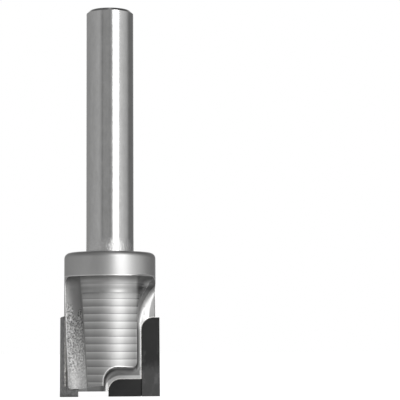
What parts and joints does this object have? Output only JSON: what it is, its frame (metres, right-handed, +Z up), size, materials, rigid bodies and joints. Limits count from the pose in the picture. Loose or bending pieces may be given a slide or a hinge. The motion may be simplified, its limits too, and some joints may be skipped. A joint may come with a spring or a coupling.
{
  "type": "diamond router bit",
  "caption": "Straight router bit: round shank, one-piece steel head with stepped chip pockets and brazed diamond tips.",
  "frame": {"origin": "on the bit's axis in the plane of the lowest cutting edges", "axes": "+Z up the shank, away from the cutting end; +X through the side tip that has the end tip beside it; -Y the side its cutting face looks to"},
  "size_m": [0.025, 0.023, 0.098],
  "materials": {
    "steel": "satin, milled and ground",
    "diamond": "lapped dark grey",
    "carbide": "ground, dark",
    "braze": "rough silver braze"
  },
  "bodies": {
    "root": {"tool_body": "steel", "side_tip_diamond": "diamond", "side_tip_carbide": "carbide", "end_tip_diamond": "diamond", "end_tip_carbide": "carbide", "opposite_tip_diamond": "diamond", "opposite_tip_carbide": "carbide", "leading_braze": "braze", "opposite_braze": "braze"}
  },
  "joints": []
}
